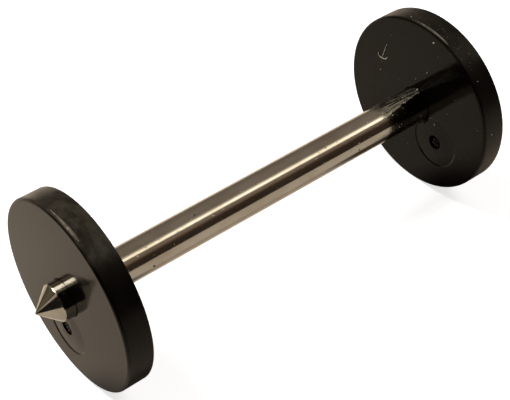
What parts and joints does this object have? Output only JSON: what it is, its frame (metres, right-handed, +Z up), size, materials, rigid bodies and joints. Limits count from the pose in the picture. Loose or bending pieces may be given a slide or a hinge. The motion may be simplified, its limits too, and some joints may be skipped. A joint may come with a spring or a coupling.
{
  "type": "monorail wheelset",
  "caption": "Small wheelset: plain flangeless disc wheels pressed on a straight steel axle that ends in a turned point on each side, to run in cup bearings.",
  "frame": {"origin": "on the axle's centre line, halfway between the wheels", "axes": "+Y along the axle towards the right wheel, +Z up, +X the rolling direction"},
  "size_m": [0.0104, 0.028, 0.0104],
  "materials": {
    "axle_steel": "bright turned steel with a warm tint and fine draw marks",
    "wheel_plastic": "gloss black moulding, the tread lightly scuffed"
  },
  "bodies": {
    "root": {"axle": "axle_steel", "left_wheel": "wheel_plastic", "right_wheel": "wheel_plastic"}
  },
  "joints": []
}
